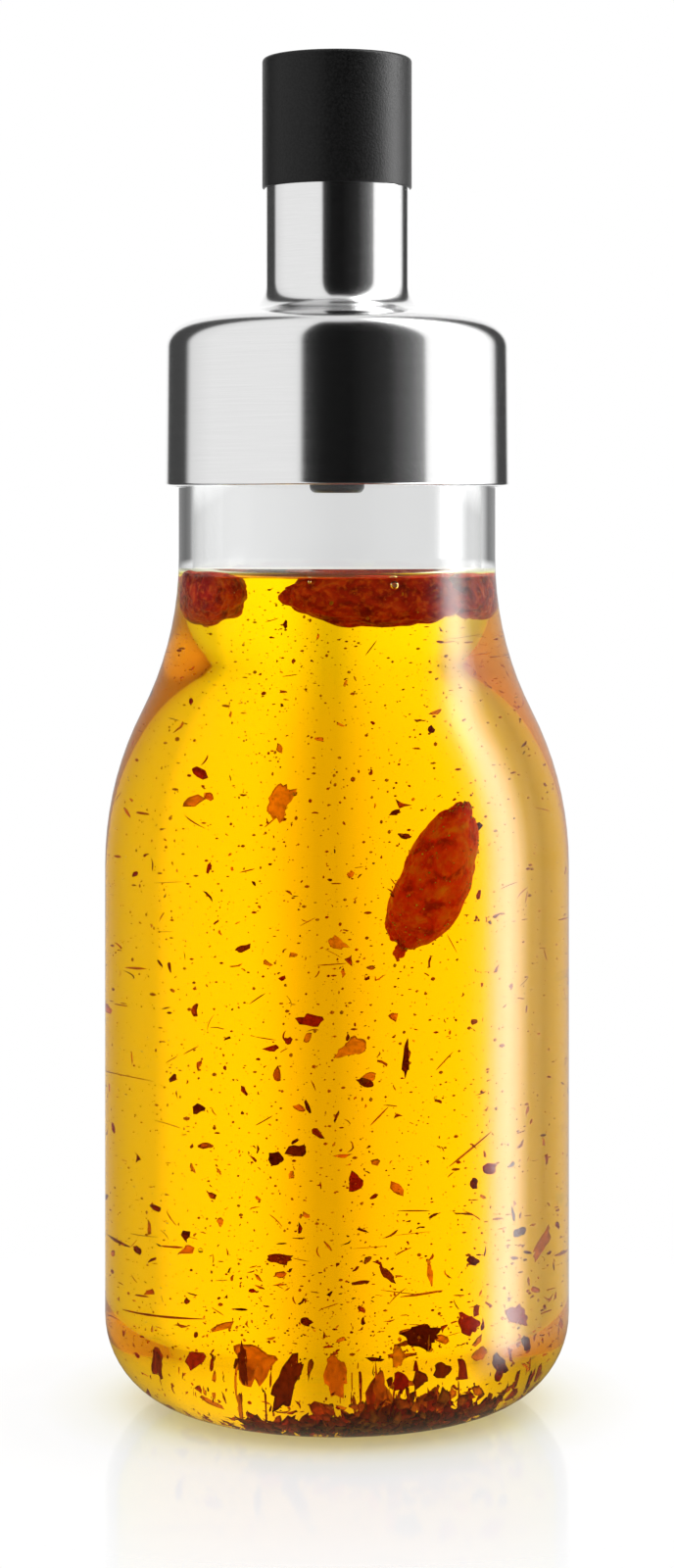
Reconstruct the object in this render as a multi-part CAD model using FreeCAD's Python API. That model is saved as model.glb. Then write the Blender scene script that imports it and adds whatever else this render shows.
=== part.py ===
import FreeCAD, Part
import math
import os

# A dressing shaker: a clear glass bottle part full of oil, closed by a drawn steel lid. Inside the
# lid a moulded stopper and its finned seal plug the bottle's neck, a small tube hangs below the
# stopper, and a rubber cap closes the pouring tube above. Every piece is turned about +Z, with the
# origin on the axis at the level that the bottle's foot stands on. Sizes are in millimetres.

# Bottle
body_radius = 32.5
neck_radius = 22.2
wall = 1.9
base_thickness = 3.4
heel_radius = 12.5
inner_heel_radius = 10.2
foot_ring_width = 2.0
punt_rise = 1.4
floor_rise = 0.9
shoulder_start = 75.0
shoulder_height = 42.8
neck_length = 27.2

# Oil
oil_level = 115.0
meniscus_radius = 2.0
contact_angle = 20.0

# Lid shell
skirt_clearance = 1.4
skirt_flare = 0.15
skirt_overlap = 17.25
collar_height = 22.85
top_slope = 8.6
corner_radius = 4.1
tube_radius = 10.2
tube_height = 41.85
cove_radius = 4.0
shell = 0.8

# Stopper, which fills the lid from the bottle's mouth into the tube
plug_depth = 15.2
plug_clearance = 2.5
plug_edge = 0.6
spout_depth = 8.6
funnel_height = 9.0
funnel_wall = 1.2

# Drip tube, pressed into the stopper from below
drip_radius = 3.85
drip_wall = 1.4
drip_edge = 0.9
drip_below_collar = 1.1
drip_seat_height = 10.0

# Seal, a silicone sleeve round the plug with a flange on the bottle's rim
seal_flange = 1.0
seal_sleeve = 1.2
sleeve_depth = 12.0
fin_height = 1.6
fin_pitch = 3.4
fin_count = 3

# Cap
cap_overhang = 0.3
cap_height = 18.3
cap_edge = 0.6
cap_lip_edge = 0.25
cap_plug_depth = 6.0
cap_plug_clearance = 0.5
cap_plug_edge = 0.8
rib_height = 1.4
rib_pitch = 2.4
rib_count = 2

HALF = 0.5
RIGHT_ANGLE = 90
HALF_TURN = 180
FULL_TURN = 360
SAME_PLACE = 1e-6

# Heights that follow
shoulder_end = shoulder_start + shoulder_height
mouth_height = shoulder_end + neck_length
collar_bottom = mouth_height - skirt_overlap
tube_top = collar_bottom + tube_height
flange_bottom = mouth_height + seal_flange

# Radii that follow
neck_bore = neck_radius - wall
collar_radius = neck_radius + skirt_clearance + shell
tube_bore = tube_radius - shell
drip_bore = drip_radius - drip_wall
plug_radius = neck_bore - plug_clearance
cap_radius = tube_radius + cap_overhang


def point(radius, height):
    """A corner of an outline."""
    return [FreeCAD.Vector(radius, 0, height)]


def arc(centre, radius, start, end):
    """Start, middle and end of an arc. Its angles are in degrees, 0 pointing outwards and 90 up."""
    angles = [math.radians(angle) for angle in (start, (start + end) * HALF, end)]
    return [
        FreeCAD.Vector(centre[0] + radius * math.cos(angle), 0, centre[1] + radius * math.sin(angle))
        for angle in angles
    ]


def dome(foot_radius, height, rise):
    """Shallow dome of the given rise, from the axis down to a circle at the given height."""
    radius = (foot_radius**2 + rise**2) / (2 * rise)
    spread = math.degrees(math.asin(foot_radius / radius))
    return arc((0, height + rise - radius), radius, RIGHT_ANGLE, RIGHT_ANGLE - spread)


def bulges(base, tip, middle, height, pitch, count):
    """Equal rounded ridges on an upright wall, from the lowest up, about the given middle height."""
    lowest = middle - (count - 1) * pitch * HALF
    ridges = []
    for index in range(count):
        crest = lowest + index * pitch
        ridges.append(
            point(base, crest - height * HALF) + point(tip, crest) + point(base, crest + height * HALF)
        )
    return ridges


def reverse(outline):
    """The same outline, run from its end to its start."""
    return [piece[::-1] for piece in outline[::-1]]


def turned(*outline):
    """Solid turned about +Z from points and arcs, which straight lines join in order and close."""
    edges = []
    for piece, following in zip(outline, outline[1:] + outline[:1]):
        if len(piece) > 1:
            edges.append(Part.Arc(*piece).toShape())
        if not piece[-1].isEqual(following[0], SAME_PLACE):
            edges.append(Part.LineSegment(piece[-1], following[0]).toShape())
    face = Part.Face(Part.Wire(edges))
    return face.revolve(FreeCAD.Vector(), FreeCAD.Vector(0, 0, 1), FULL_TURN)


def shoulder(depth):
    """The two tangent arcs of the shoulder, from the body up to the neck, at a depth in the glass."""
    drop = body_radius - neck_radius
    radius = (shoulder_height**2 + drop**2) / (4 * drop)
    swing = math.degrees(math.asin(shoulder_height / (2 * radius)))
    return [
        arc((body_radius - radius, shoulder_start), radius - depth, 0, swing),
        arc((neck_radius + radius, shoulder_end), radius + depth, HALF_TURN + swing, HALF_TURN),
    ]


def bottle_inside():
    """Outline of the hollow, from the axis on its domed floor up to the neck."""
    heel_centre = (body_radius - wall - inner_heel_radius, base_thickness + inner_heel_radius)
    return [
        dome(heel_centre[0], base_thickness, floor_rise),
        arc(heel_centre, inner_heel_radius, -RIGHT_ANGLE, 0),
        *shoulder(wall),
    ]


def glass_bottle():
    """Blown bottle with a pushed-up foot, rounded heel, drawn-in shoulder and fire-rounded rim."""
    foot_radius = body_radius - heel_radius
    rim_radius = wall * HALF
    return turned(
        dome(foot_radius - foot_ring_width, 0, punt_rise),
        arc((foot_radius, heel_radius), heel_radius, -RIGHT_ANGLE, 0),
        *shoulder(0),
        arc((neck_radius - rim_radius, mouth_height - rim_radius), rim_radius, 0, HALF_TURN),
        *reverse(bottle_inside()),
    )


def oil():
    """What the bottle holds, up to its level, with a meniscus that climbs the glass."""
    cavity = turned(*bottle_inside(), point(neck_bore, mouth_height), point(0, mouth_height))
    reach = meniscus_radius * math.cos(math.radians(contact_angle))
    centre = (neck_bore - reach, oil_level + meniscus_radius)
    air = turned(
        point(0, oil_level),
        arc(centre, meniscus_radius, -RIGHT_ANGLE, 0),
        point(centre[0] + meniscus_radius, mouth_height + wall),
        point(0, mouth_height + wall),
    )
    return cavity.cut(air)


def lid_top(depth):
    """Shoulder corner and cove of the lid with the slope between, at a depth under its surface."""
    slope = math.radians(top_slope)
    slope_height = collar_bottom + collar_height + corner_radius * math.tan(slope)
    corner = (collar_radius - corner_radius, slope_height - corner_radius / math.cos(slope))
    cove_run = corner[0] - (tube_radius + cove_radius)
    cove_height = slope_height + cove_run * math.tan(slope) + cove_radius / math.cos(slope)
    square_to_slope = RIGHT_ANGLE - top_slope
    return [
        arc(corner, corner_radius - depth, 0, square_to_slope),
        arc((tube_radius + cove_radius, cove_height), cove_radius + depth,
            HALF_TURN + square_to_slope, HALF_TURN),
    ]


def lid_shell():
    """Steel shell of one even thickness: flared skirt, rounded corner, sloped top, cove and tube."""
    edge_radius = shell * HALF
    edge_centre = (collar_radius + skirt_flare - edge_radius, collar_bottom + edge_radius)
    return turned(
        arc(edge_centre, edge_radius, HALF_TURN, FULL_TURN),
        *lid_top(0),
        point(tube_radius, tube_top),
        point(tube_bore, tube_top),
        *reverse(lid_top(shell)),
    )


def stopper():
    """Moulded insert that fills the lid and plugs the neck, with the pouring channel through it."""
    plug_bottom = mouth_height - plug_depth
    spout_top = tube_top - spout_depth
    drip_seat = plug_bottom + drip_seat_height
    return turned(
        point(drip_radius, plug_bottom),
        point(plug_radius - plug_edge, plug_bottom),
        point(plug_radius, plug_bottom + plug_edge),
        point(plug_radius, flange_bottom),
        point(collar_radius - shell, flange_bottom),
        *lid_top(shell),
        point(tube_bore, spout_top),
        point(tube_bore - funnel_wall, spout_top),
        point(drip_bore, spout_top - funnel_height),
        point(drip_bore, drip_seat),
        point(drip_radius, drip_seat),
    )


def drip_tube():
    """Short tube with a rounded end, which lets the dressing into the stopper's channel."""
    bottom = collar_bottom - drip_below_collar
    top = mouth_height - plug_depth + drip_seat_height
    return turned(
        point(drip_bore, bottom),
        arc((drip_radius - drip_edge, bottom + drip_edge), drip_edge, -RIGHT_ANGLE, 0),
        point(drip_radius, top),
        point(drip_bore, top),
    )


def seal():
    """Silicone sleeve with ridges that press on the neck, and a flange between rim and stopper."""
    sleeve_radius = plug_radius + seal_sleeve
    sleeve_bottom = mouth_height - sleeve_depth
    fins_middle = mouth_height - sleeve_depth * HALF
    return turned(
        point(plug_radius, sleeve_bottom),
        point(sleeve_radius, sleeve_bottom),
        *bulges(sleeve_radius, neck_bore, fins_middle, fin_height, fin_pitch, fin_count),
        point(sleeve_radius, mouth_height),
        point(neck_radius, mouth_height),
        point(neck_radius, flange_bottom),
        point(plug_radius, flange_bottom),
    )


def cap():
    """Rubber cap that stands on the tube's end, with a ribbed plug inside the tube."""
    plug_side = tube_bore - cap_plug_clearance
    plug_bottom = tube_top - cap_plug_depth
    ribs_middle = tube_top - cap_plug_depth * HALF
    top = tube_top + cap_height
    return turned(
        point(0, plug_bottom),
        point(plug_side - cap_plug_edge, plug_bottom),
        point(plug_side, plug_bottom + cap_plug_edge),
        *bulges(plug_side, tube_bore, ribs_middle, rib_height, rib_pitch, rib_count),
        point(plug_side, tube_top),
        arc((cap_radius - cap_lip_edge, tube_top + cap_lip_edge), cap_lip_edge, -RIGHT_ANGLE, 0),
        arc((cap_radius - cap_edge, top - cap_edge), cap_edge, 0, RIGHT_ANGLE),
        point(0, top),
    )


pieces = {
    "glass_bottle": glass_bottle(),
    "oil": oil(),
    "lid_shell": lid_shell(),
    "stopper": stopper(),
    "drip_tube": drip_tube(),
    "seal": seal(),
    "cap": cap(),
}

os.makedirs("parts", exist_ok=True)
for name, shape in pieces.items():
    shape.exportStep(f"parts/{name}.step")
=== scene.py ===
import math
import random

import bmesh
import bpy
import numpy as np
from mathutils import Matrix, Vector, noise


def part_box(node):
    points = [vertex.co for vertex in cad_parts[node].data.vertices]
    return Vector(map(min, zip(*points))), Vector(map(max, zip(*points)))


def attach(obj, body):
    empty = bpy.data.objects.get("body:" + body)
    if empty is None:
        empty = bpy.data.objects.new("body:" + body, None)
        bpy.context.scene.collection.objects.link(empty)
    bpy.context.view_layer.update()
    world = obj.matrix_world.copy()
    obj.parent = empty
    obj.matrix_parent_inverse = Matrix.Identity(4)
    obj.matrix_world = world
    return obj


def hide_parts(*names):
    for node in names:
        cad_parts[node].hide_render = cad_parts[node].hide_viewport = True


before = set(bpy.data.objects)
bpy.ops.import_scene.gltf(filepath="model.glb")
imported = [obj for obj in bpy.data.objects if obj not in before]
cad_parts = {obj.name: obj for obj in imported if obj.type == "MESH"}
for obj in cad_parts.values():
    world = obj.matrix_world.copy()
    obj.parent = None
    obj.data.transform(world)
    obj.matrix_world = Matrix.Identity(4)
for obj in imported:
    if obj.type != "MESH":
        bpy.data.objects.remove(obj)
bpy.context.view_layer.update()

# A dressing shaker. The bottle, the oil and the lid's pieces are turned from the outlines of the
# CAD nodes. The berries, flakes and specks in the oil are made here. Lengths are in metres, and in
# MM where they are small. The axis is +Z, and the camera looks from -Y.

random.seed(11)

MM = 0.001
AROUND = 192                 # segments round each turned piece
SHARP_FROM = 35              # degrees between two faces from which their edge is sharp
ON_AXIS = 1e-6               # a radius below this lies on the axis
ALIKE = 1e-6                 # two heights or radii that are closer are the same
IN_PLANE = 1e-7              # a point closer than this lies in the plane of the outline
INTO_WALL = 0.3 * MM         # how far the oil reaches into the glass
CLEAR = 0.25 * MM            # room kept between the glass and a piece in the oil

GLASS_IOR = 1.5
OIL_IOR = 1.47
HERB_IOR = 1.15              # what is soaked in oil bends light little
UNBENT = 1.0                 # the IOR at which light goes straight on
MOST_MIRRORED = 0.5          # how often light may be mirrored inside the bottle
MIRRORED = 0.3               # how strongly the filled part of the glass mirrors the studio face on


# ---------------------------------------------------------------- turned pieces
def outline(name):
    """A turned node's own outline as (radius, height) points, closed on the axis or on itself."""
    vertices = [v.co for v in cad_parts[name].data.vertices]
    neighbours = {}
    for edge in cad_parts[name].data.edges:
        a, b = (vertices[i] for i in edge.vertices)
        if max(abs(a.y), abs(b.y)) > IN_PLANE or min(a.x, b.x) < -IN_PLANE:
            continue
        p, q = ((round(v.x, 6), round(v.z, 6)) for v in (a, b))
        if p != q:
            neighbours.setdefault(p, set()).add(q)
            neighbours.setdefault(q, set()).add(p)
    ends = sorted((p for p in neighbours if len(neighbours[p]) == 1), key=lambda p: p[1])
    chain = [ends[0] if ends else min(neighbours, key=lambda p: (p[1], -p[0]))]
    if not ends:
        chain.append(max(neighbours[chain[0]]))
    while True:
        ahead = [p for p in neighbours[chain[-1]] if p not in chain]
        if not ahead:
            break
        chain.append(ahead[0])
    if ends:
        chain = ([(0.0, chain[0][1])] if chain[0][0] > ON_AXIS else []) + chain
        chain += [(0.0, chain[-1][1])] if chain[-1][0] > ON_AXIS else []
    return chain


def highest(points):
    """Number of the highest point of an outline."""
    return max(range(len(points)), key=lambda i: points[i][1])


def lathe(name, points, closed):
    """Turns an outline about the axis. Its faces carry the number of their span of the outline."""
    ring = np.linspace(0, 2 * math.pi, AROUND, endpoint=False)
    vertices, starts = [], []
    for radius, height in points:
        starts.append(len(vertices))
        if radius < ON_AXIS:
            vertices.append((0.0, 0.0, height))
        else:
            vertices += [(radius * math.cos(a), radius * math.sin(a), height) for a in ring]
    faces, spans = [], []
    for i in range(len(points) if closed else len(points) - 1):
        j = (i + 1) % len(points)
        low, high = points[i][0] < ON_AXIS, points[j][0] < ON_AXIS
        if low and high:
            continue
        for k in range(AROUND):
            n = (k + 1) % AROUND
            if low:
                face = (starts[i], starts[j] + n, starts[j] + k)
            elif high:
                face = (starts[i] + k, starts[i] + n, starts[j])
            else:
                face = (starts[i] + k, starts[i] + n, starts[j] + n, starts[j] + k)
            faces.append(face)
            spans.append(i)
    piece = solid(name, vertices, faces)
    piece.data.attributes.new("span", "INT", "FACE").data.foreach_set("value", spans)
    outwards(piece.data)
    piece.data.set_sharp_from_angle(angle=math.radians(SHARP_FROM))
    return piece


def spans_of(piece):
    """Takes the numbers of the spans off a turned piece's faces."""
    spans = np.zeros(len(piece.data.polygons), np.int32)
    piece.data.attributes["span"].data.foreach_get("value", spans)
    piece.data.attributes.remove(piece.data.attributes["span"])
    return spans


def solid(name, vertices, faces):
    """A smooth mesh, put into the scene."""
    mesh = bpy.data.meshes.new(name)
    mesh.from_pydata([tuple(v) for v in vertices], [], faces)
    mesh.polygons.foreach_set("use_smooth", [True] * len(mesh.polygons))
    piece = bpy.data.objects.new(name, mesh)
    bpy.context.scene.collection.objects.link(piece)
    return piece


def outwards(mesh):
    """Turns the faces so that a closed mesh has a positive volume."""
    mesh.calc_loop_triangles()
    co = np.array([v.co for v in mesh.vertices])
    tri = np.array([t.vertices for t in mesh.loop_triangles])
    a, b, c = co[tri[:, 0]], co[tri[:, 1]], co[tri[:, 2]]
    if np.einsum("ij,ij->i", a, np.cross(b, c)).sum() < 0:
        mesh.flip_normals()


def stands_for(piece, node_name):
    """Puts a piece on the body in the place of a CAD node."""
    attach(piece, "root")
    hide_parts(node_name)


def turned(node_name):
    points = outline(node_name)
    piece = lathe(node_name + "_turned", points, closed=points[0][0] > ON_AXIS)
    stands_for(piece, node_name)
    return piece


# ---------------------------------------------------------------- nodes of a material
def node(tree, kind, inputs=None, **settings):
    made = tree.nodes.new(kind)
    for key, value in settings.items():
        setattr(made, key, value)
    for key, value in (inputs or {}).items():
        if isinstance(value, bpy.types.NodeSocket):
            tree.links.new(value, made.inputs[key])
        else:
            made.inputs[key].default_value = value
    return made


def link(tree, source, target):
    tree.links.new(source, target)


def maths(tree, operation, a, b=0.5):
    return node(tree, "ShaderNodeMath", {0: a, 1: b}, operation=operation).outputs[0]


def mapped(tree, value, low, high, start=0.0, end=1.0, **settings):
    """Carries a value from the range start to end over to the range low to high."""
    return node(tree, "ShaderNodeMapRange", {
        "Value": value, "From Min": start, "From Max": end, "To Min": low, "To Max": high},
        **settings).outputs[0]


def mixed(tree, factor, a, b, **settings):
    return node(tree, "ShaderNodeMix", {"Factor": factor, "A": a, "B": b},
                data_type="RGBA", **settings).outputs["Result"]


def mixed_shader(tree, factor, a, b):
    return node(tree, "ShaderNodeMixShader", {0: factor, 1: a, 2: b}).outputs[0]


def ramp(tree, fac, stops):
    """A colour ramp. A stop's colour may be one number, for a grey."""
    made = node(tree, "ShaderNodeValToRGB", {"Fac": fac})
    elements = made.color_ramp.elements
    while len(elements) < len(stops):
        elements.new(0.5)
    for element, (place, colour) in zip(elements, stops):
        element.position = place
        element.color = (*colour, 1.0) if hasattr(colour, "__len__") else (colour, colour, colour, 1.0)
    return made.outputs["Color"]


def own_place(tree):
    return node(tree, "ShaderNodeTexCoord").outputs["Object"]


def cloudy(tree, place, scale, **more):
    return node(tree, "ShaderNodeTexNoise", {"Vector": place, "Scale": scale, **more}).outputs["Fac"]


def emboss(tree, shader, height, strength, distance):
    bump = node(tree, "ShaderNodeBump", {"Height": height, "Strength": strength, "Distance": distance})
    link(tree, bump.outputs["Normal"], shader.inputs["Normal"])


def fill(tree, colour, density):
    """Makes the inside of a clear piece take up light."""
    volume = node(tree, "ShaderNodeVolumeAbsorption", {"Color": (*colour, 1), "Density": density})
    link(tree, volume.outputs["Volume"], tree.nodes["Material Output"].inputs["Volume"])


def let_out(tree, shader, ior):
    """Stops light from going round and round in the wall: once mirrored, it leaves straight."""
    mirrored = node(tree, "ShaderNodeLightPath").outputs["Glossy Depth"]
    bent = maths(tree, "LESS_THAN", mirrored, MOST_MIRRORED)
    link(tree, mapped(tree, bent, UNBENT, ior), shader.inputs["IOR"])


# ---------------------------------------------------------------- materials
def material(name, **values):
    """A material with a Principled shader, whose sockets are set by name."""
    made = bpy.data.materials.new(name)
    made.use_nodes = True
    shader = made.node_tree.nodes["Principled BSDF"]
    for key, value in values.items():
        shader.inputs[key.replace("_", " ")].default_value = value
    return made, made.node_tree, shader


def glass_material():
    """Clear glass. Its mirror attribute is less where oil wets it, as oil bends light like glass."""
    made, tree, shader = material(
        "clear_glass", Base_Color=(1, 1, 1, 1), Transmission_Weight=1.0, IOR=GLASS_IOR,
        Roughness=0.0)
    let_out(tree, shader, GLASS_IOR)
    mirror = node(tree, "ShaderNodeAttribute", attribute_name="mirror").outputs["Color"]
    link(tree, mirror, shader.inputs["Specular Tint"])
    wave = cloudy(tree, own_place(tree), 45.0, Detail=1.0)
    emboss(tree, shader, wave, 0.05, 0.2 * MM)
    fill(tree, (0.0, 0.04, 0.03), 40.0)
    return made


def oil_material():
    made, tree, shader = material(
        "herb_oil", Base_Color=(1, 1, 1, 1), Transmission_Weight=1.0, IOR=OIL_IOR, Roughness=0.0,
        Specular_Tint=(0, 0, 0, 1))
    let_out(tree, shader, OIL_IOR)
    fill(tree, (0.997, 0.93, 0.0), 190.0)
    return made


BRUSH_LINES = 16000          # fineness of the brushed lines, across them
BRUSH_LENGTH = 2.0           # and along them


def steel_material():
    """Spun steel, whose fine brushed lines run round the axis."""
    made, tree, shader = material(
        "spun_steel", Metallic=1.0, Roughness=0.15, Anisotropic=0.7, Anisotropic_Rotation=0.25)
    tangent = node(tree, "ShaderNodeTangent", direction_type="RADIAL", axis="Z")
    link(tree, tangent.outputs["Tangent"], shader.inputs["Tangent"])
    place = own_place(tree)
    part = node(tree, "ShaderNodeSeparateXYZ", {"Vector": place}).outputs
    azimuth = maths(tree, "ARCTAN2", part["Y"], part["X"])
    flat = node(tree, "ShaderNodeVectorMath", {0: place, 1: (1, 1, 0)}, operation="MULTIPLY")
    radius = node(tree, "ShaderNodeVectorMath", {0: flat.outputs["Vector"]}, operation="LENGTH")
    rolled = node(tree, "ShaderNodeCombineXYZ", {
        "X": radius.outputs["Value"], "Y": azimuth, "Z": part["Z"]})
    fine = node(tree, "ShaderNodeMapping", {
        "Vector": rolled.outputs[0], "Scale": (BRUSH_LINES, BRUSH_LENGTH, BRUSH_LINES)})
    brush = cloudy(tree, fine.outputs[0], 1.0, Detail=3.0)
    colour = ramp(tree, brush, [(0.3, 0.60), (0.7, 0.64)])
    link(tree, colour, shader.inputs["Base Color"])
    link(tree, mapped(tree, brush, 0.13, 0.18, 0.3, 0.7), shader.inputs["Roughness"])
    emboss(tree, shader, brush, 0.015, 0.02 * MM)
    return made


ROUGHNESS_SPREAD = 0.08


def rubber_material(name, dark, light, roughness, grain_size, sheen):
    """Rubber or plastic between two greys, with a fine grain."""
    made, tree, shader = material(name, Roughness=roughness, Specular_IOR_Level=sheen)
    speck = cloudy(tree, own_place(tree), grain_size, Detail=4.0)
    colour = ramp(tree, speck, [(0.35, dark), (0.65, light)])
    link(tree, colour, shader.inputs["Base Color"])
    rough = mapped(tree, speck, roughness - ROUGHNESS_SPREAD, roughness + ROUGHNESS_SPREAD)
    link(tree, rough, shader.inputs["Roughness"])
    emboss(tree, shader, speck, 0.5, 0.08 * MM)
    return made


# Tones of what is in the oil, each stop a place in the ramp and a colour
# Painted highlight: the bright orange laid on the berries' ridges
RIDGE_HIGHLIGHT_COLOUR = (1.0, 0.19, 0.03, 1)
# Painted light: one berry's colour as a lighter painted-lit copy for the sunk berry and a darker
# painted-shade copy for the floating berries
LIT_BERRY = [
    (0.34, (0.50, 0.015, 0.005)), (0.48, (0.92, 0.045, 0.010)), (0.60, (1.0, 0.13, 0.016)),
    (0.74, (1.0, 0.34, 0.04))]
SHADED_BERRY = [
    (0.34, (0.27, 0.008, 0.007)), (0.50, (0.56, 0.020, 0.012)), (0.62, (0.80, 0.060, 0.02)),
    (0.76, (0.97, 0.24, 0.05))]
AMBER = [(0.0, (1.0, 0.34, 0.01)), (0.5, (1.0, 0.48, 0.03)), (1.0, (1.0, 0.26, 0.01))]
BROWN = [(0.0, (0.40, 0.035, 0.005)), (0.3, (0.75, 0.10, 0.010)), (0.55, (0.95, 0.22, 0.015)),
         (0.8, (1.0, 0.38, 0.03)), (1.0, (0.20, 0.018, 0.006))]
SPECK = [(0.0, (0.80, 0.10, 0.01)), (0.5, (1.0, 0.25, 0.02)), (1.0, (0.45, 0.04, 0.008))]
DARK = [(0.0, (0.20, 0.020, 0.005)), (0.5, (0.35, 0.040, 0.008)), (1.0, (0.55, 0.09, 0.012))]
SETTLED = [(0.0, (0.50, 0.03, 0.010)), (0.25, (0.85, 0.10, 0.015)), (0.5, (0.98, 0.20, 0.02)),
           (0.75, (1.0, 0.38, 0.03)), (1.0, (0.35, 0.02, 0.010))]
RED = [(0.0, (0.65, 0.02, 0.008)), (0.5, (0.85, 0.06, 0.012)), (1.0, (0.40, 0.012, 0.01))]
# Painted glint: pale grains whose colour stands for the shine of tiny bubbles and droplets
PALE_GLINT = [(0.0, (0.95, 0.9, 0.6)), (1.0, (0.98, 0.8, 0.35))]


def berry_material(name, stops):
    """Dried berry: clouded skin that lets light a little way in, with a painted orange highlight on its fine
    ridges.
    """
    made, tree, shader = material(
        name, Roughness=0.4, Subsurface_Weight=0.45, Subsurface_Radius=(4.0, 0.8, 0.2),
        Subsurface_Scale=0.001, Specular_IOR_Level=0.1)
    place = own_place(tree)
    cloud = cloudy(tree, place, 420.0, Detail=5.0, Distortion=0.6)
    veins = cloudy(tree, place, 1400.0, Detail=4.0)
    highlit_ridges = ramp(tree, veins, [(0.50, 0.0), (0.68, 0.65)])
    # Painted highlight: the ridges of the bump pattern get the bright orange.
    colour = mixed(tree, highlit_ridges, ramp(tree, cloud, stops), RIDGE_HIGHLIGHT_COLOUR)
    link(tree, colour, shader.inputs["Base Color"])
    emboss(tree, shader, veins, 0.7, 0.3 * MM)
    return made


def herb_material(name, stops, clearness):
    """Dried leaf and peel: each piece has its own tone, mottled and veined."""
    made, tree, shader = material(
        name, Roughness=0.5, Transmission_Weight=clearness, IOR=HERB_IOR, Specular_IOR_Level=0.0)
    own = node(tree, "ShaderNodeNewGeometry").outputs["Random Per Island"]
    mottle = cloudy(tree, own_place(tree), 1500.0, Detail=4.0)
    shade = ramp(tree, mottle, [(0.3, 0.55), (0.5, 0.9), (0.7, 1.15)])
    colour = mixed(tree, 1.0, ramp(tree, own, stops), shade, blend_type="MULTIPLY")
    link(tree, colour, shader.inputs["Base Color"])
    emboss(tree, shader, mottle, 0.6, 0.2 * MM)
    return made


# ---------------------------------------------------------------- studio
# Light levels round the object, each stop its degrees from the camera's side and its level.
# Seen through glass and by dull surfaces
AROUND_LIGHT = [
    (-180, 0.96), (-177, 1.2), (-174, 1.43), (-170, 1.53), (-163, 1.62), (-155, 1.65), (-151, 1.15),
    (-146, 1), (-139, 0.72), (-132, 0.6), (-123, 0.83), (-112, 1.04), (-24, 1.1), (-20, 0.75), (56, 0.75),
    (60, 1.4), (82, 1.5), (84, 3), (100, 3), (105, 1.5), (116, 1.05), (124, 1), (144, 1.1), (149, 1.43),
    (155, 1.53), (163, 1.64), (167, 1.67), (171, 1.5), (174, 1.21), (177, 0.95), (180, 0.95)]
# Seen through the empty neck, at the height of the lens
AROUND_LEVEL = [
    (-180, 0.82), (-179, 0.87), (-177, 0.94), (-175, 0.98), (-163, 0.98), (-155, 0.6), (-140, 0.25),
    (-119, 0.2), (-113, 0.3), (-107, 0.9), (-100, 1), (100, 1), (108, 0.95), (114, 0.55), (119, 0.17),
    (140, 0.2), (155, 0.6), (163, 0.85), (168, 0.76), (173, 0.76), (176, 0.87), (178, 0.85), (179, 0.81),
    (180, 0.82)]
# Mirrored by brushed metal and rubber
AROUND_GLOSS = [
    (-180, 1.3), (-150, 1.3), (-146, 0.08), (-118, 0.08), (-112, 1.1), (-90, 1.25), (-24, 1.25),
    (-22, 0.05), (-10, 0.012), (8, 0.01), (24, 0.025), (34, 0.04), (49, 0.18), (59.5, 0.4), (60.6, 1.5),
    (82, 2), (84, 14), (107, 14), (109, 2), (124, 1.3), (130, 0.08), (148, 0.06), (152, 1.3), (180, 1.3)]
# Mirrored by smooth glass
AROUND_SHINE = [
    (-180, 0.5), (-160, 0.3), (-136, 0.05), (-120, 0.02), (60, 0.02), (68, 0.3), (74, 1.5), (78, 4.5),
    (83, 12), (88, 16), (92, 17), (97, 12), (103, 5.5), (109, 1.6), (122, 0.5), (136, 0.4), (152, 0.5),
    (180, 0.5)]
PEAK = 20.0                  # the brightest level that a ramp can hold
OVERHEAD = 1.15              # the level from above
LENS_LEVEL = -0.004          # slope of the view at the height of the lens
LEVEL_BAND = (0.014, 0.024)  # how far off that slope AROUND_LEVEL fades out
EMPTY_WALLS = 4.5            # light that has gone through more surfaces has met the oil
SIDES_END = ((0.5, 0.8), (0.93, 1.0))   # upward slope over which the sides fade, as seen and as mirrored

SHEET_RADIUS = 0.12
FADE_FROM = (0.035, 0.05)    # radius from which the sheet fades, for other rays and for the camera
FADE_TO = (0.08, 0.115)      # and at which it is gone
BACKDROP = 1.3               # level of the sheet as seen through glass
PAINTED_DIM = 0.15                # and as smooth glass mirrors it: fixed and yellowish, a painted shade with painted glow
HALO_SHARE = 0.58            # how much of the sheet's light is the painted glow through the oil, the rest its own shading
HALO_SCALE = 10.0            # turns a radius in metres into a place in the halo
PAINTED_HALO = [
    (0.20, (0.66, 0.52, 0.20)), (0.26, (0.75, 0.65, 0.35)), (0.28, (0.84, 0.76, 0.46)),
    (0.31, (0.92, 0.89, 0.70)), (0.35, (0.97, 0.96, 0.88)), (0.42, (1.0, 1.0, 1.0))]

LENS = 78.5                  # in mm, for the frame below
FRAME_SIZE = 36.0            # height of the frame, in mm
LENS_SHIFT = -0.155
CAMERA_AT = (0, -0.480, 0.1202)


def lightbox(tree, azimuth, levels):
    """The levels round the object as a ramp, in shares of PEAK."""
    return ramp(tree, azimuth, [((angle + 180) / 360, level / PEAK) for angle, level in levels])


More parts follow.
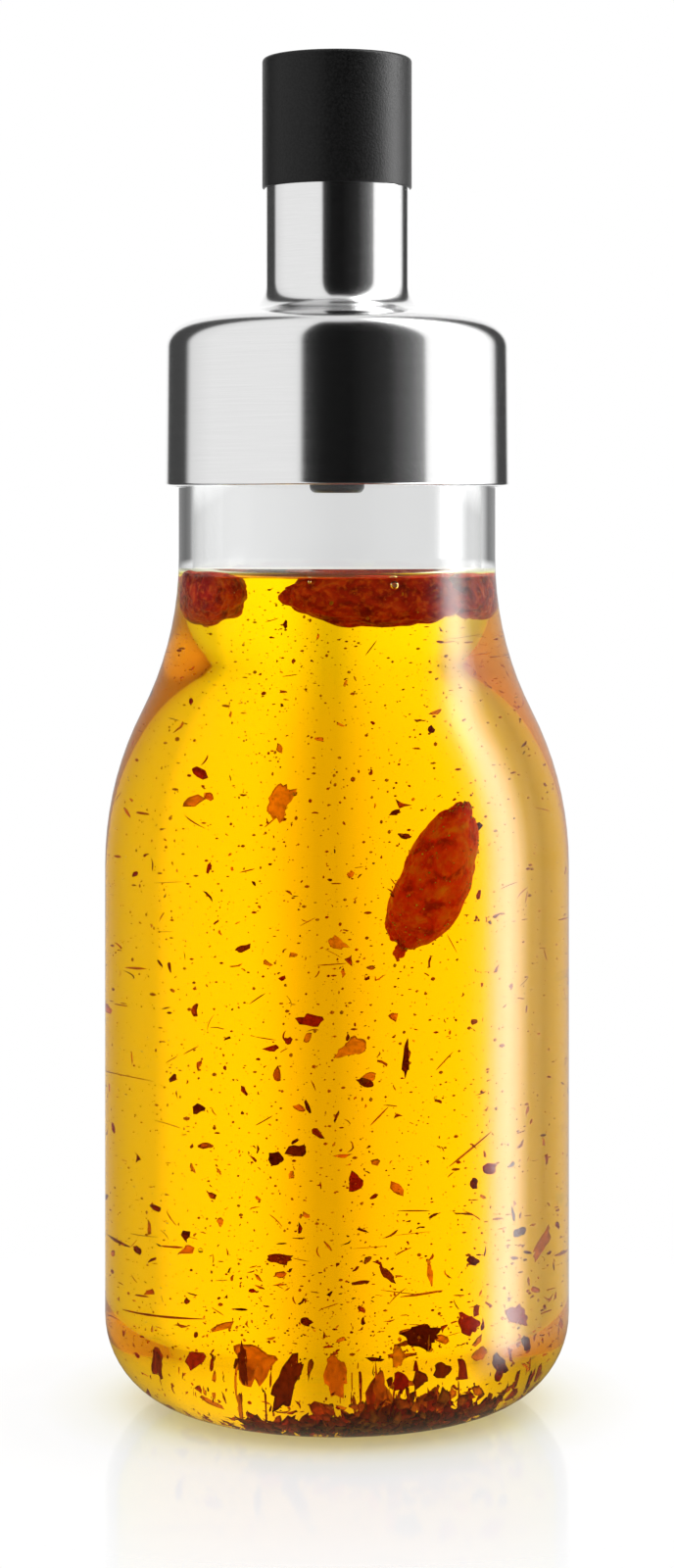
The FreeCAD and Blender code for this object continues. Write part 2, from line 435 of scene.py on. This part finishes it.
def level_round(tree, part, ray, mirrored):
    """The light level of the studio's sides, for what looks at them."""
    behind = maths(tree, "MULTIPLY", part["Y"], -1.0)
    azimuth = mapped(tree, maths(tree, "ARCTAN2", part["X"], behind), 0.0, 1.0, -math.pi, math.pi)
    off_level = maths(tree, "ABSOLUTE", maths(tree, "SUBTRACT", part["Z"], LENS_LEVEL))
    at_level = mapped(tree, off_level, 1.0, 0.0, *LEVEL_BAND)
    empty = maths(tree, "LESS_THAN", ray["Transmission Depth"], EMPTY_WALLS)
    seen = mixed(tree, maths(tree, "MULTIPLY", at_level, empty),
                 lightbox(tree, azimuth, AROUND_LIGHT), lightbox(tree, azimuth, AROUND_LEVEL))
    shone = mixed(tree, ray["Is Singular Ray"],
                  lightbox(tree, azimuth, AROUND_GLOSS), lightbox(tree, azimuth, AROUND_SHINE))
    return maths(tree, "MULTIPLY", mixed(tree, mirrored, seen, shone), PEAK)


def studio():
    """The world: plain white to the camera, and light boxes round the object to all other rays."""
    world = bpy.data.worlds.new("studio")
    bpy.context.scene.world = world
    world.use_nodes = True
    world.cycles.sampling_method = "NONE"
    tree = world.node_tree
    tree.nodes.clear()
    place = node(tree, "ShaderNodeTexCoord").outputs["Generated"]
    part = node(tree, "ShaderNodeSeparateXYZ", {"Vector": place}).outputs
    ray = node(tree, "ShaderNodeLightPath").outputs
    not_through = maths(tree, "SUBTRACT", 1.0, ray["Is Transmission Ray"])
    mirrored = maths(tree, "MULTIPLY", ray["Is Glossy Ray"], not_through)
    (seen_low, seen_high), (mirrored_low, mirrored_high) = SIDES_END
    up = mapped(tree, part["Z"], 0.0, 1.0, mapped(tree, mirrored, seen_low, mirrored_low),
                mapped(tree, mirrored, seen_high, mirrored_high), interpolation_type="SMOOTHSTEP")
    level = node(tree, "ShaderNodeMix", {
        "Factor": up, "A": level_round(tree, part, ray, mirrored), "B": OVERHEAD}, data_type="FLOAT")
    shown = node(tree, "ShaderNodeMix", {
        "Factor": ray["Is Camera Ray"], "A": level.outputs["Result"], "B": 1.0}, data_type="FLOAT")
    background = node(tree, "ShaderNodeBackground", {
        "Color": (1, 1, 1, 1), "Strength": shown.outputs["Result"]})
    link(tree, background.outputs[0], node(tree, "ShaderNodeOutputWorld").inputs["Surface"])


def sheet_material():
    """White sheet with a painted glow of light through the oil round the foot, which lightens its real
    shadow there. It fades out a little way from there.
    """
    made, tree, shader = material("white_sheet", Roughness=0.06, Specular_IOR_Level=1.0)
    place = own_place(tree)
    tone = cloudy(tree, place, 60.0)
    link(tree, ramp(tree, tone, [(0.3, 0.91), (0.7, 0.93)]), shader.inputs["Base Color"])
    away = node(tree, "ShaderNodeVectorMath", {0: place}, operation="LENGTH").outputs["Value"]
    ray = node(tree, "ShaderNodeLightPath").outputs
    # Painted light: an emitted yellow glow by distance from the axis stands for the light through the oil on
    # the sheet, and takes the place of part of its shading.
    painted_glow_colour = ramp(tree, maths(tree, "MULTIPLY", away, HALO_SCALE), PAINTED_HALO)
    painted_glow = node(tree, "ShaderNodeEmission", {"Color": painted_glow_colour, "Strength": 1.0}).outputs[0]
    lit = mixed_shader(tree, HALO_SHARE, shader.outputs[0], painted_glow)
    backdrop = node(tree, "ShaderNodeEmission", {"Color": (1, 1, 1, 1), "Strength": BACKDROP})
    seen = mixed_shader(tree, ray["Is Transmission Ray"], lit, backdrop.outputs[0])
    # Painted light: smooth glass mirrors the sheet as a fixed dim yellowish emission, a painted shade with
    # painted glow, not the sheet's own shading.
    shone = maths(tree, "MULTIPLY", ray["Is Singular Ray"], ray["Is Glossy Ray"])
    painted_dim_sheet = node(tree, "ShaderNodeEmission", {"Color": (1, 0.9, 0.6, 1), "Strength": PAINTED_DIM})
    seen = mixed_shader(tree, shone, seen, painted_dim_sheet.outputs[0])
    gone = mapped(tree, away, 0.0, 1.0, mapped(tree, ray["Is Camera Ray"], *FADE_FROM),
                  mapped(tree, ray["Is Camera Ray"], *FADE_TO), interpolation_type="SMOOTHSTEP")
    clear = node(tree, "ShaderNodeBsdfTransparent").outputs[0]
    link(tree, mixed_shader(tree, gone, seen, clear), tree.nodes["Material Output"].inputs["Surface"])
    return made


def floor():
    bpy.ops.mesh.primitive_circle_add(vertices=96, radius=SHEET_RADIUS, fill_type="NGON")
    sheet = bpy.context.object
    sheet.name = "floor"
    sheet.data.materials.append(sheet_material())


def camera():
    data = bpy.data.cameras.new("camera")
    data.lens = LENS
    data.sensor_width = FRAME_SIZE
    data.shift_y = LENS_SHIFT
    made = bpy.data.objects.new("camera", data)
    made.location = CAMERA_AT
    made.rotation_euler = (math.radians(90), 0, 0)
    bpy.context.scene.collection.objects.link(made)
    bpy.context.scene.camera = made


# ---------------------------------------------------------------- bottle, oil and lid
OIL = outline("oil")
OIL_RIM = highest(OIL)       # the point where the oil's surface meets the wall


def bottle():
    piece = turned("glass_bottle")
    piece.data.materials.append(glass_material())
    points = outline("glass_bottle")
    top, filled = highest(points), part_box("oil")[1].z - ALIKE
    mirror = [1.0 if points[s][1] > filled else 0.0 if s >= top else MIRRORED for s in spans_of(piece)]
    piece.data.attributes.new("mirror", "FLOAT", "FACE").data.foreach_set("value", mirror)


def oil():
    """The oil, its wetted side carried a little into the wall so that no air shows between them."""
    wide = []
    for i, (r, z) in enumerate(OIL[:OIL_RIM]):
        before, after = OIL[max(i - 1, 0)], OIL[i + 1]
        along = Vector((after[0] - before[0], after[1] - before[1])).normalized()
        if r < ON_AXIS:
            wide.append((0.0, z - INTO_WALL))
        else:
            wide.append((r + along.y * INTO_WALL, z - along.x * INTO_WALL))
    r, z = OIL[OIL_RIM]
    piece = lathe("oil_filling", wide + [(r + INTO_WALL, z)] + OIL[OIL_RIM:], closed=False)
    spans_of(piece)
    stands_for(piece, "oil")
    piece.data.materials.append(oil_material())


def fittings():
    steel = steel_material()
    black = rubber_material("matte_rubber", 0.003, 0.009, 0.42, 3500.0, 0.16)
    plastic = rubber_material("dark_plastic", 0.004, 0.010, 0.35, 1200.0, 0.25)
    silicone = rubber_material("grey_silicone", 0.09, 0.14, 0.5, 1500.0, 0.5)
    for name, slot, look in (
            ("lid_shell", "steel", steel), ("cap", "cap_rubber", black),
            ("seal", "seal_silicone", silicone), ("stopper", "stopper_plastic", plastic),
            ("drip_tube", "stopper_plastic", plastic)):
        piece = turned(name)
        spans_of(piece)
        piece.data.materials.append(look)


# ---------------------------------------------------------------- room in the oil
WALL_RADIUS, WALL_HEIGHT = np.array(OIL[:OIL_RIM + 1]).T
WIDEST = WALL_RADIUS.max()
SURFACE = OIL[-1][1]
HEEL_TOP = WALL_HEIGHT[WALL_RADIUS >= WIDEST - ALIKE].min()
LOW = WALL_HEIGHT <= HEEL_TOP


def radius_at(height):
    """Inner radius of the bottle at a height above the heel."""
    return np.interp(height, WALL_HEIGHT[~LOW], WALL_RADIUS[~LOW])


def floor_at(radius):
    """Height of the inside of the base and heel at a radius."""
    return np.interp(radius, WALL_RADIUS[LOW], WALL_HEIGHT[LOW])


def inside(points):
    """Whether points lie in the oil, clear of the glass."""
    radius, height = np.hypot(points[:, 0], points[:, 1]), points[:, 2]
    low = height < HEEL_TOP
    return bool(np.all(height < SURFACE - CLEAR)
                and np.all(radius[~low] < radius_at(height[~low]) - CLEAR)
                and np.all(radius[low] < WIDEST - CLEAR)
                and np.all(height[low] > floor_at(radius[low]) + CLEAR))


def any_azimuth():
    return random.uniform(0, 2 * math.pi)


def somewhere():
    """A radius and an azimuth, spread evenly over the bottle's width."""
    return WIDEST * math.sqrt(random.random()), any_azimuth()


def turn(x, y, z):
    """A turn about x, then y, then z, in degrees."""
    about_x, about_y, about_z = (
        Matrix.Rotation(math.radians(angle), 3, axis) for angle, axis in zip((x, y, z), "XYZ"))
    return np.array(about_z @ about_y @ about_x)


def any_turn():
    return turn(random.uniform(0, 360), random.uniform(0, 360), random.uniform(0, 360))


class Heap:
    """Small pieces of one kind, gathered into one mesh."""

    def __init__(self):
        self.vertices, self.faces, self.count = [], [], 0

    def add(self, shape, at, turned_by, clear=True):
        vertices, faces = shape
        placed = vertices @ turned_by.T + np.array(at)
        if clear and not inside(placed):
            return False
        self.vertices.append(placed)
        self.faces += [tuple(i + self.count for i in face) for face in faces]
        self.count += len(placed)
        return True

    def piece(self, name, look):
        made = solid(name, np.concatenate(self.vertices), self.faces)
        made.data.materials.append(look)
        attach(made, "root")
        return made


# ---------------------------------------------------------------- shapes of what is in the oil
def torn_edge(spokes, corners, jag):
    """Radii round a torn scrap: straight sides between a few corners, with a ragged line along them."""
    at = sorted(random.uniform(0, 2 * math.pi) for _ in range(corners))
    at = [(a + 2 * math.pi * i / corners) / 2 for i, a in enumerate(at)]
    far = [random.uniform(0.72, 1.12) for _ in at]
    knots = [(r * math.cos(a), r * math.sin(a)) for a, r in zip(at, far)]
    edge = []
    for k in range(spokes):
        a = 2 * math.pi * k / spokes
        i = max((j for j in range(corners) if at[j] <= a), default=corners - 1)
        (x0, y0), (x1, y1) = knots[i], knots[(i + 1) % corners]
        across = (x1 - x0) * math.sin(a) - (y1 - y0) * math.cos(a)
        reach = (x1 * y0 - x0 * y1) / across if abs(across) > 1e-6 else 0.7
        edge.append(min(max(abs(reach), 0.3), 1.2) * (1 + jag * random.uniform(-1, 0.6)))
    return np.array(edge) / (0.5 * max(edge) + 0.5 * sum(edge) / spokes)


def flake(length, width, thickness, jag, curl, rings=3, spokes=14, corners=5):
    """A dried flake: a thin curved scrap with a torn edge, lying flat about the origin."""
    angle = np.linspace(0, 2 * math.pi, spokes, endpoint=False)
    phase = random.uniform(0, 6.3)
    edge = torn_edge(spokes, corners, jag)
    x, y = length / 2 * edge * np.cos(angle), width / 2 * edge * np.sin(angle)
    share = np.arange(1, rings) / rings
    flat_x = np.concatenate([[0.0], (share[:, None] * x).ravel()])
    flat_y = np.concatenate([[0.0], (share[:, None] * y).ravel()])
    half = thickness / 2 * (1 - 0.6 * np.concatenate([[0.0], np.repeat(share, spokes)]) ** 2)
    layers = [np.stack([flat_x, flat_y, side * half], 1) for side in (1, -1)]
    vertices = np.concatenate([*layers, np.stack([x, y, np.zeros(spokes)], 1)])
    bend_x, bend_y = curl * random.uniform(0.3, 1), curl * random.uniform(-1, 1)
    ripple = np.sin(vertices[:, 0] * 9 / length + phase) * np.cos(vertices[:, 1] * 7 / width + phase)
    vertices[:, 2] += (bend_x * (2 * vertices[:, 0] / length) ** 2
                       + bend_y * (2 * vertices[:, 1] / width) ** 2 + 0.25 * curl * ripple)
    per = 1 + (rings - 1) * spokes
    faces = []
    for k in range(spokes):
        n = (k + 1) % spokes
        faces += [(0, 1 + k, 1 + n), (per, per + 1 + n, per + 1 + k)]
        for ring in range(rings - 2):
            a, b = 1 + ring * spokes, 1 + (ring + 1) * spokes
            faces += [(a + k, b + k, b + n, a + n), (per + a + n, per + b + n, per + b + k, per + a + k)]
        last, rim = 1 + (rings - 2) * spokes, 2 * per
        faces += [(last + k, rim + k, rim + n, last + n), (per + last + n, rim + n, rim + k, per + last + k)]
    return vertices, faces


def fibre(length, thickness, bend, rings=9, sides=6):
    """A short bent stalk or hair, tapered at both ends, along x."""
    vertices = []
    for i in range(rings):
        t = 2 * i / (rings - 1) - 1
        radius = thickness / 2 * max(0.25, (1 - t ** 4) * random.uniform(0.75, 1.1))
        for k in range(sides):
            a = 2 * math.pi * k / sides
            vertices.append((t * length / 2, radius * math.cos(a) + bend * t * t, radius * math.sin(a)))
    faces = [tuple(range(sides))[::-1], tuple((rings - 1) * sides + k for k in range(sides))]
    for i in range(rings - 1):
        for k in range(sides):
            n = (k + 1) % sides
            faces.append((i * sides + k, i * sides + n, (i + 1) * sides + n, (i + 1) * sides + k))
    return np.array(vertices), faces


def grain(detail=1):
    """A small round grain of unit size."""
    mesh = bmesh.new()
    bmesh.ops.create_icosphere(mesh, subdivisions=detail, radius=0.5)
    vertices = np.array([v.co for v in mesh.verts])
    faces = [tuple(v.index for v in f.verts) for f in mesh.faces]
    mesh.free()
    return vertices, faces


def spindle(point):
    """A smooth spindle of unit size along x, whose end at -x is drawn out to a point."""
    rings, sides = 110, 120
    vertices = [(-0.5, 0.0, 0.0)]
    for i in range(1, rings):
        t = -math.cos(math.pi * i / rings)
        round_off = (1 - abs(t) ** 2.3) ** 0.62 * (1 - point * max(0.0, -t) ** 1.5)
        for k in range(sides):
            a = 2 * math.pi * k / sides
            vertices.append((t / 2, round_off * math.cos(a) / 2, round_off * math.sin(a) / 2))
    vertices.append((0.5, 0.0, 0.0))
    faces, last = [], 1 + (rings - 2) * sides
    for k in range(sides):
        n = (k + 1) % sides
        faces.append((0, 1 + n, 1 + k))
        faces.append((last + k, last + n, last + sides))
        for i in range(rings - 2):
            a, b = 1 + i * sides, 1 + (i + 1) * sides
            faces.append((a + k, a + n, b + n, b + k))
    return vertices, faces


def wrinkled(vertices, size, seed):
    """Gives a spindle its folds, lumps, bend and size."""
    shift = Vector((seed * 7.3, seed * 3.1, seed * 1.7))
    shaped = []
    for v in vertices:
        v = Vector(v)
        out = Vector((0.25 * v.x, v.y, v.z)).normalized()
        where = Vector((v.x * 2.2, v.y * 2.0, v.z * 2.0)) + shift
        fold = noise.ridged_multi_fractal(where, 0.9, 2.1, 4, 0.9, 2.0) - 1.0
        lump = noise.noise(where * 0.8)
        fine = noise.noise(Vector((v.x * 9, v.y * 16, v.z * 16)) + shift)
        v = v + out * (-0.075 * fold + 0.10 * lump + 0.012 * fine)
        bent = 0.10 * v.x * v.x
        shaped.append((v.x * size.x, (v.y + bent) * size.y, v.z * size.z))
    return np.array(shaped)


OVER_SURFACE = 0.6 * MM      # how high a floating berry stands out of the oil
PRESSED_IN = 0.75            # share of what is higher that is pressed back


def berry(name, size, at, turned_by, point, seed, look):
    """A dried berry: a flattened spindle with lengthwise wrinkles, a pointed end and a stalk stub."""
    length, width, thickness = (side * MM for side in size)
    vertices, faces = spindle(point)
    body = wrinkled(vertices, Vector((length, width, thickness)), seed)
    stub, stub_faces = fibre(0.13 * length, 0.16 * width, 0.02 * width, rings=12, sides=12)
    shaped = np.concatenate([body, stub + np.array([0.5 * length, 0.0, 0.0])])
    shaped = shaped @ turned_by.T + np.array(at)
    shaped[:, 2] -= PRESSED_IN * np.maximum(shaped[:, 2] - (SURFACE + OVER_SURFACE), 0.0)
    faces += [tuple(i + len(vertices) for i in face) for face in stub_faces]
    made = solid(name, shaped, faces)
    made.data.materials.append(look)
    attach(made, "root")
    outwards(made.data)
    return made


# ---------------------------------------------------------------- what is in the oil
AFLOAT = SURFACE - 2.4 * MM  # height of the floating berries' middle
BEADS = 220


def berries():
    # The sunk berry gets the painted lit tone, the floating berries the painted shaded tone.
    lit, deep = berry_material("lit_dried_berry", LIT_BERRY), berry_material("shaded_floating_berry", SHADED_BERRY)
    sunk = berry("berry_sunk", (20, 9.2, 7), (0.0103, -0.008, 0.0738), turn(20, 112, -8), 0.25, 3, lit)
    for name, size, (x, y), turned_by, point, seed in (
            ("berry_front", (22.5, 8.4, 9.4), (0.0045, -0.0125), turn(0, 1, 3), 0.15, 7),
            ("berry_left", (18, 10, 9.2), (-0.0145, -0.0045), turn(10, -3, 82), 0.3, 12),
            ("berry_right", (18, 8.8, 8.0), (0.0155, -0.002), turn(0, 2, 97), 0.3, 19),
            ("berry_back", (14, 8, 7), (0.003, 0.0125), turn(30, 0, -8), 0.4, 23),
            ("berry_middle", (13, 7, 6.6), (0.004, 0.001), turn(80, 0, 20), 0.4, 31)):
        berry(name, size, (x, y, AFLOAT), turned_by, point, seed, deep)
    beads = Heap()
    vertices, faces = grain()
    # Painted glints: pale beads on the sunk berry stand for the shine of tiny air bubbles.
    for spot in random.sample(list(sunk.data.vertices), BEADS):
        size = random.uniform(0.10, 0.28) * MM
        beads.add((vertices * size, faces), spot.co + spot.normal * 0.3 * size, np.eye(3))
    beads.piece("berry_beads", herb_material("berry_beads", PALE_GLINT, 0.3))


# The larger flakes in mm, each where it hangs: kind, place, length, width, turn about y and x
LARGE_FLAKES = (
    ("peel", (-6.3, -12, 83.5), 5.4, 3.4, 100, 80), ("peel", (0.1, -10, 65.8), 2.4, 2, 30, 75),
    ("pepper", (-2.8, -8, 55), 3, 2, 10, 70), ("peel", (1.6, -10, 51.3), 4, 3.2, 120, 85),
    ("dark", (2.8, -5, 46.3), 2, 1.3, 10, 70), ("peel", (3.3, -5, 47), 2.4, 1.5, 150, 80),
    ("dark", (-15.9, -14, 43.4), 2, 1.5, 20, 80), ("dark", (-6.7, -16, 37.2), 2.4, 2, 40, 80),
    ("dark", (-4.6, -16, 38.3), 2.9, 1.8, -15, 75), ("dark", (7.4, -10, 50.5), 5.6, 0.9, 95, 80),
    ("pepper", (1.8, -12, 33.8), 2.9, 1.9, 80, 80), ("pepper", (18.3, -16, 35.7), 2.4, 1.6, 0, 70),
    ("dark", (16.1, -16, 33.7), 1.8, 1.1, 90, 70), ("dark", (-4.6, 12, 20.2), 2.4, 1.8, 0, 60),
    ("dark", (-4.9, -18, 9.2), 7.4, 2.9, -50, 80), ("peel", (-8.5, -6, 8.9), 4.8, 4.4, 0, 85),
    ("dark", (-10.8, -16, 10.4), 5.5, 1.2, 80, 85), ("pepper", (-16.6, -16, 10), 2.7, 2.5, 20, 85),
    ("dark", (-21.6, -14, 9.2), 2.8, 1.2, 80, 85), ("dark", (9.8, -16, 13.5), 5, 3.8, 10, 85),
    ("pepper", (15.1, -14, 14.8), 3.4, 2.9, 60, 85), ("pepper", (21.3, -12, 14.8), 4, 3, 50, 80),
    ("peel", (25.3, -10, 24.5), 6.5, 2.2, -50, 80), ("dark", (21.6, -12, 26.4), 2.2, 1.8, 20, 80),
    ("dark", (20.6, -12, 28.5), 2.6, 0.6, 80, 85), ("dark", (-24.6, -12, 23.4), 1.7, 1.4, 10, 80),
    ("dark", (-9.9, -8, 64.7), 2.1, 1, -30, 75), ("dark", (-20, -14, 62.4), 1.5, 0.9, 80, 80),
    ("dark", (5.7, -16, 21.8), 3, 1.1, 60, 80), ("dark", (2.7, -16, 20.8), 2.6, 0.6, -10, 80),
    ("peel", (10.6, -16, 21.4), 4, 0.7, 88, 85), ("dark", (16.1, -16, 23.4), 2.4, 1.2, 25, 80),
    ("peel", (-0.1, -14, 9.4), 4, 3.2, 70, 80), ("peel", (7.1, -20, 11.5), 3.3, 2, 85, 85),
    ("peel", (4.6, -21, 8.4), 4.2, 2.6, 88, 85), ("pepper", (7.6, -21, 8.9), 2.7, 1.9, 10, 80),
    ("dark", (9.8, -20, 9), 2.4, 2, 30, 80), ("dark", (12.6, -18, 9.6), 2.4, 2.1, 0, 80),
    ("peel", (16.9, -16, 10.9), 2.2, 1.9, 0, 80), ("dark", (19.3, -15, 9.6), 3, 2, 40, 80),
    ("dark", (22.6, -12, 11.2), 2.2, 1.6, 70, 80), ("dark", (-3.2, -12, 15), 1.5, 1.3, 10, 80),
    ("dark", (6.2, -10, 82), 1.5, 0.8, -30, 80), ("dark", (7.4, -11, 79.4), 1.6, 0.8, 20, 80))
# Stalks and long hairs in mm: place, length, bend, tilt
STALKS = (
    ((15.3, -14, 38.1), 7.0, 0.3, -40), ((-21, -12, 14.9), 13.0, 1.2, 1),
    ((-19.5, -14, 24.7), 3.2, 0.1, 0), ((-25.5, -13, 62), 4.5, 0.1, 0),
    ((9.5, -15, 19.0), 5.0, 0.4, -8))
CHOPPED_KINDS = ("herb", "herb", "herb", "dark", "pepper", "peel", "peel")
CHOPPED, HAIRS = 950, 130


def large_flakes(heaps):
    for kind, place, length, width, tilt, lean in LARGE_FLAKES:
        shape = flake(length * MM, width * MM, 0.22 * MM, 0.2, 0.35 * MM, rings=5,
                      spokes=26 if length > 3 else 16)
        heaps[kind].add(shape, np.array(place) * MM, turn(lean, tilt, 0), clear=False)
    for place, length, bend, tilt in STALKS:
        heaps["herb"].add(fibre(length * MM, 0.35 * MM, bend * MM), np.array(place) * MM,
                          turn(0, tilt, 0), clear=False)


def chopped(heaps):
    """Chopped herb and hairs all through the oil, thicker towards the base."""
    wanted = CHOPPED
    while wanted:
        height = HEEL_TOP * 0.5 + (SURFACE - HEEL_TOP * 0.5) * random.random() ** 2.1
        radius, angle = somewhere()
        size = 0.35 * MM + 1.5 * MM * random.random() ** 4
        heap = heaps[random.choice(CHOPPED_KINDS)]
        shape = flake(size * 1.3, size * random.uniform(0.35, 1), 0.12 * MM, 0.3, 0.2 * size,
                      rings=2, spokes=8)
        place = (radius * math.cos(angle), radius * math.sin(angle), height)
        wanted -= heap.add(shape, place, any_turn())
    wanted = HAIRS
    while wanted:
        height = HEEL_TOP + (SURFACE - HEEL_TOP) * random.random() ** 1.7
        radius, angle = somewhere()
        shape = fibre(random.uniform(0.8, 3.2) * MM, random.uniform(0.08, 0.2) * MM,
                      random.uniform(-0.3, 0.3) * MM)
        place = (radius * math.cos(angle), radius * math.sin(angle), height)
        wanted -= heaps["herb"].add(shape, place, turn(0, random.gauss(0, 35), random.uniform(0, 360)))


def herbs():
    kinds = (("peel", "peel_flakes", AMBER, 0.8), ("herb", "herb_flakes", BROWN, 0.5),
             ("dark", "dark_flakes", DARK, 0.3), ("pepper", "pepper_flakes", RED, 0.3))
    heaps = {kind: Heap() for kind, *_ in kinds}
    large_flakes(heaps)
    chopped(heaps)
    for kind, name, stops, clearness in kinds:
        heaps[kind].piece(name, herb_material(name, stops, clearness))


BED_AZIMUTH_SPREAD = 44      # degrees over which the bed thins out
BED_LEAST = 0.4              # its depth there, in mm
BED_OFF_FLOOR = 0.3          # and the height of its lowest flakes over the glass
# Drifts of the bed: count, azimuth and its spread in degrees, nearest, farthest and commonest
# radius in mm, and depth in mm
DRIFTS = ((360, 36, 34, 6, 28, 24, 2.3), (80, 20, 180, 6, 28, 20, 0.8), (260, 10, 44, 17, 25, 22, 0.7))


def sediment():
    """The bed of herb that has settled on the base, deepest in front to the right."""
    bed = Heap()
    for wanted, around, spread, near, far, most, deepest in DRIFTS:
        while wanted:
            angle = random.gauss(around, spread)
            radius = random.triangular(near, far, most) * MM
            deep = deepest * math.exp(-((angle - around) / BED_AZIMUTH_SPREAD) ** 2) + BED_LEAST
            height = floor_at(radius) + (BED_OFF_FLOOR + deep * random.random() ** 1.8) * MM
            size = random.triangular(0.9, 4.6, 1.8) * MM
            shape = flake(size, size * random.uniform(0.4, 0.9), 0.16 * MM, 0.25, 0.15 * size,
                          rings=2, spokes=10)
            lie = turn(random.gauss(0, 40), random.gauss(0, 40), random.uniform(0, 360))
            angle = math.radians(angle)
            place = (radius * math.sin(angle), -radius * math.cos(angle), height)
            wanted -= bed.add(shape, place, lie)
    bed.piece("settled_herb", herb_material("settled_herb", SETTLED, 0.7))


# The bright droplets are pale grains whose colour is a painted glint.
# Dust: name, count, least and greatest size in mm, tones, and how far it has sunk
DUSTS = (("fine_specks", 3600, 0.10, 0.32, SPECK, 1.25), ("amber_specks", 1600, 0.12, 0.5, AMBER, 1.1),
         ("bright_droplets", 900, 0.08, 0.17, PALE_GLINT, 1.0))
DUST_FLOOR = 6 * MM          # the lowest that dust hangs
UNDER_SURFACE = 1.5 * MM     # how far the highest dust stays below the surface
HEEL_ROOM = 24 * MM          # the widest that it goes in the heel
OFF_WALL = 0.5 * MM


def dust():
    """Fine specks and droplets through the whole filling."""
    vertices, faces = grain()
    for name, count, small, large, stops, fall in DUSTS:
        depth = SURFACE - UNDER_SURFACE - DUST_FLOOR
        height = DUST_FLOOR + depth * np.array([random.random() for _ in range(count)]) ** fall
        share = np.sqrt([random.random() for _ in range(count)])
        angle = np.array([any_azimuth() for _ in range(count)])
        most = np.where(height < HEEL_TOP, HEEL_ROOM, radius_at(height) - OFF_WALL)
        centre = np.stack([most * share * np.cos(angle), most * share * np.sin(angle), height], 1)
        stretch = np.array([[random.uniform(0.5, 1.4) for _ in range(3)] for _ in range(count)])
        size = np.array([small + (large - small) * random.random() ** 3 for _ in range(count)]) * MM
        placed = vertices[None] * (stretch * size[:, None])[:, None] + centre[:, None]
        numbers = np.array(faces)[None] + (np.arange(count) * len(vertices))[:, None, None]
        heap = solid(name, placed.reshape(-1, 3), numbers.reshape(-1, 3).tolist())
        heap.data.materials.append(herb_material(name, stops, 0.3))
        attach(heap, "root")


# Bubbles of air in mm: place and radius
BUBBLES = (((7.3, -17.2, 114.1), 0.62), ((-3.5, -18.6, 114.6), 0.25), ((-15.0, -10.5, 24.0), 0.35),
           ((11.0, -13.0, 45.0), 0.3))


def bubbles():
    """Air bubbles. Their faces look inwards, as they are holes in the oil."""
    look, _, _ = material("bubble", Base_Color=(1, 1, 1, 1), Transmission_Weight=1.0, IOR=OIL_IOR,
                          Roughness=0.0)
    vertices, faces = grain(3)
    for k, (place, radius) in enumerate(BUBBLES):
        piece = solid(f"bubble_{k}", vertices * 2 * radius * MM + np.array(place) * MM,
                      [face[::-1] for face in faces])
        piece.data.materials.append(look)
        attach(piece, "root")


scene = bpy.context.scene
scene.view_settings.view_transform = "Standard"
scene.cycles.max_bounces = 12
scene.cycles.transmission_bounces = 11
scene.cycles.glossy_bounces = 3
scene.cycles.diffuse_bounces = 1
camera()
studio()
floor()
bottle()
oil()
fittings()
berries()
herbs()
sediment()
dust()
bubbles()
